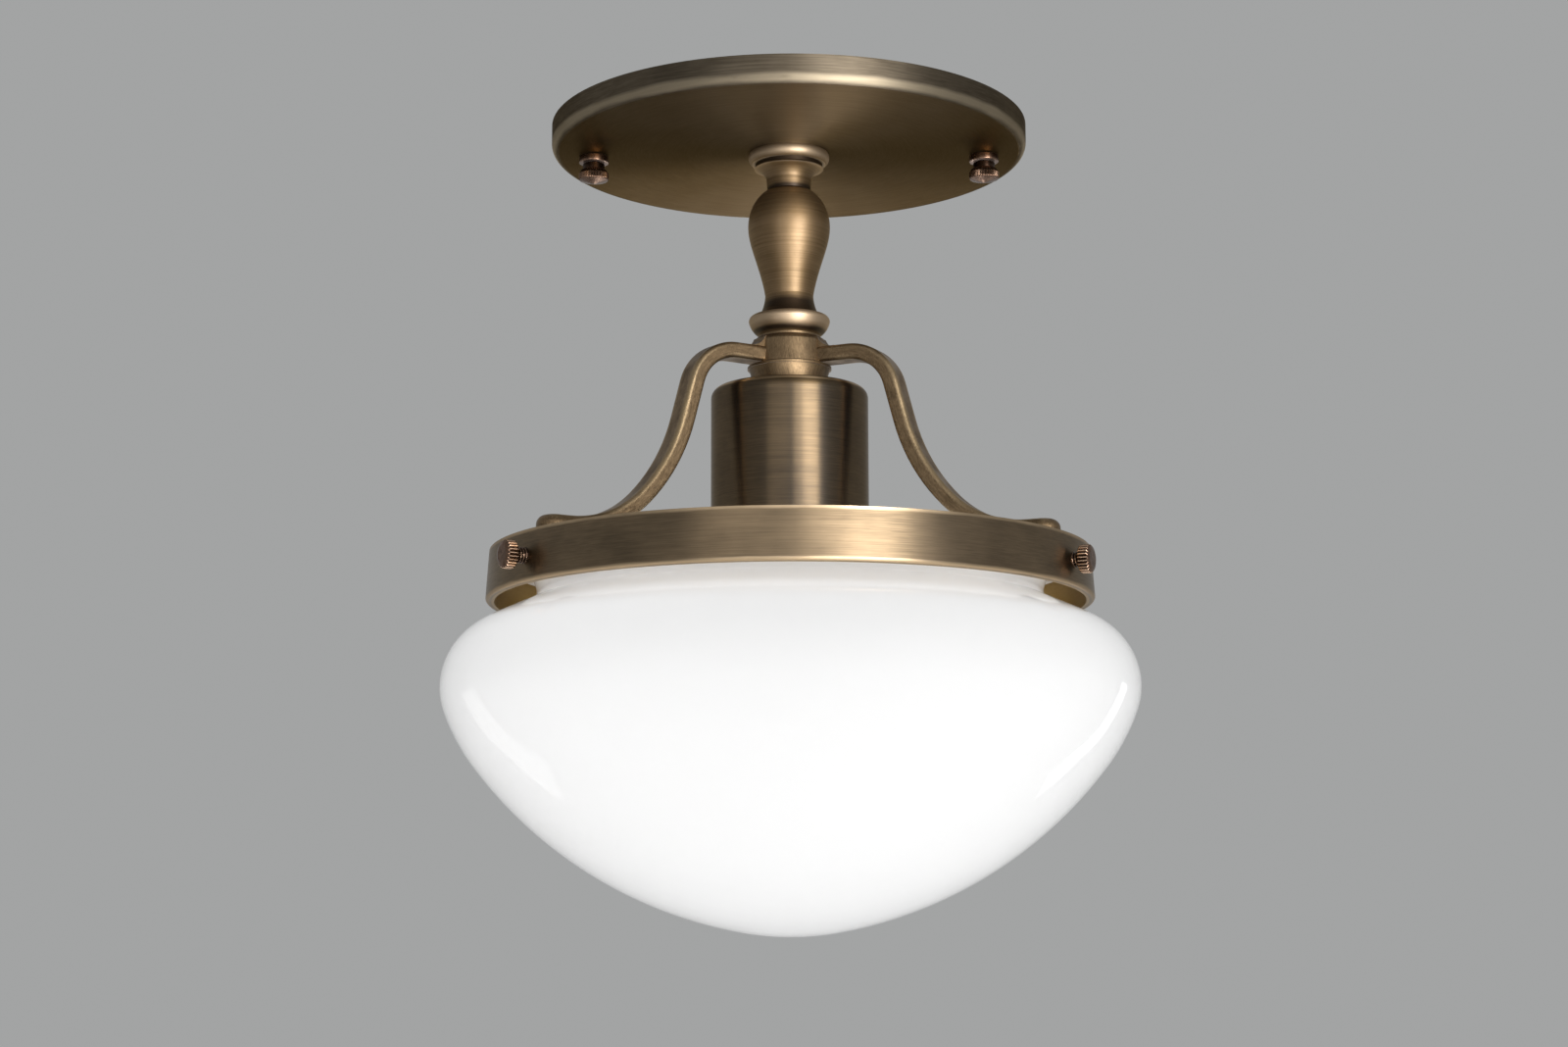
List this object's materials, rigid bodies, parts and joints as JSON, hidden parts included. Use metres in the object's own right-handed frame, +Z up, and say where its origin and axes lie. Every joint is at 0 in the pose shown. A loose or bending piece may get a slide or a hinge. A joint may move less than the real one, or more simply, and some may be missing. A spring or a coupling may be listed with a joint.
{
  "type": "semi flush ceiling light",
  "caption": "Semi flush ceiling light: flat round canopy, turned column, cast arms holding a fitter ring, and an opal glass bowl held by knurled thumbscrews over a screw base bulb.",
  "frame": {"origin": "centre of the mounting bar's screw pattern, in the plane of the ceiling", "axes": "+Z up into the ceiling, the light hangs towards -Z; +X along the mounting bar; -Y towards the viewer of the reference picture"},
  "size_m": [0.1814, 0.1814, 0.2145],
  "materials": {
    "antique_brass": "antique brushed",
    "cast_brass": "antique cast, hand rubbed",
    "copper_brass": "turned, lightly aged",
    "plated_steel": "zinc plated",
    "green_screw": "green dip",
    "pale_brass": "plain",
    "porcelain": "glazed",
    "opal_glass": "gloss opal white",
    "bulb_frost": "inside frosted",
    "bulb_black": "black glass",
    "bulb_plate": "satin"
  },
  "bodies": {
    "fixture": {"canopy": "antique_brass", "crossbar": "plated_steel", "ground_screw": "green_screw", "canopy_collar_left": "copper_brass", "canopy_collar_right": "copper_brass", "upper_nipple": "pale_brass", "canopy_lock_washer": "plated_steel", "canopy_lock_nut": "pale_brass", "column": "antique_brass", "lower_nipple": "pale_brass", "arm_spider": "cast_brass", "fitter_ring": "antique_brass", "foot_screw_right": "pale_brass", "foot_screw_back": "pale_brass", "foot_screw_left": "pale_brass", "socket_cup": "antique_brass", "socket_lock_washer": "plated_steel", "socket_lock_nut": "pale_brass", "socket_bracket": "plated_steel", "bracket_screw_left": "plated_steel", "bracket_screw_right": "plated_steel", "porcelain_body": "porcelain", "screw_shell": "pale_brass", "centre_contact": "pale_brass", "contact_rivet": "pale_brass", "terminal_screw_line": "pale_brass", "terminal_screw_neutral": "plated_steel", "glass_shade": "opal_glass"},
    "canopy_thumbscrew_left": {"canopy_thumbscrew_left": "copper_brass"},
    "canopy_thumbscrew_right": {"canopy_thumbscrew_right": "copper_brass"},
    "fitter_thumbscrew_right": {"fitter_thumbscrew_right": "copper_brass"},
    "fitter_thumbscrew_back": {"fitter_thumbscrew_back": "copper_brass"},
    "fitter_thumbscrew_left": {"fitter_thumbscrew_left": "copper_brass"},
    "bulb": {"bulb_contact": "plated_steel", "bulb_insulator": "bulb_black", "bulb_base": "bulb_plate", "bulb_glass": "bulb_frost"}
  },
  "joints": [
    {"name": "canopy_thumbscrew_left_slide", "type": "slide", "parent": "fixture", "child": "canopy_thumbscrew_left", "axis": [0, 0, -1], "range_m": [0, 0.009]},
    {"name": "canopy_thumbscrew_right_slide", "type": "slide", "parent": "fixture", "child": "canopy_thumbscrew_right", "axis": [0, 0, -1], "range_m": [0, 0.009]},
    {"name": "fitter_thumbscrew_right_slide", "type": "slide", "parent": "fixture", "child": "fitter_thumbscrew_right", "axis": [0.8988, -0.4384, 0], "range_m": [0, 0.008]},
    {"name": "fitter_thumbscrew_back_slide", "type": "slide", "parent": "fixture", "child": "fitter_thumbscrew_back", "axis": [-0.0698, 0.9976, 0], "range_m": [0, 0.008]},
    {"name": "fitter_thumbscrew_left_slide", "type": "slide", "parent": "fixture", "child": "fitter_thumbscrew_left", "axis": [-0.829, -0.5592, 0], "range_m": [0, 0.008]},
    {"name": "bulb_slide", "type": "slide", "parent": "fixture", "child": "bulb", "axis": [0, 0, -1], "range_m": [0, 0.012]}
  ]
}
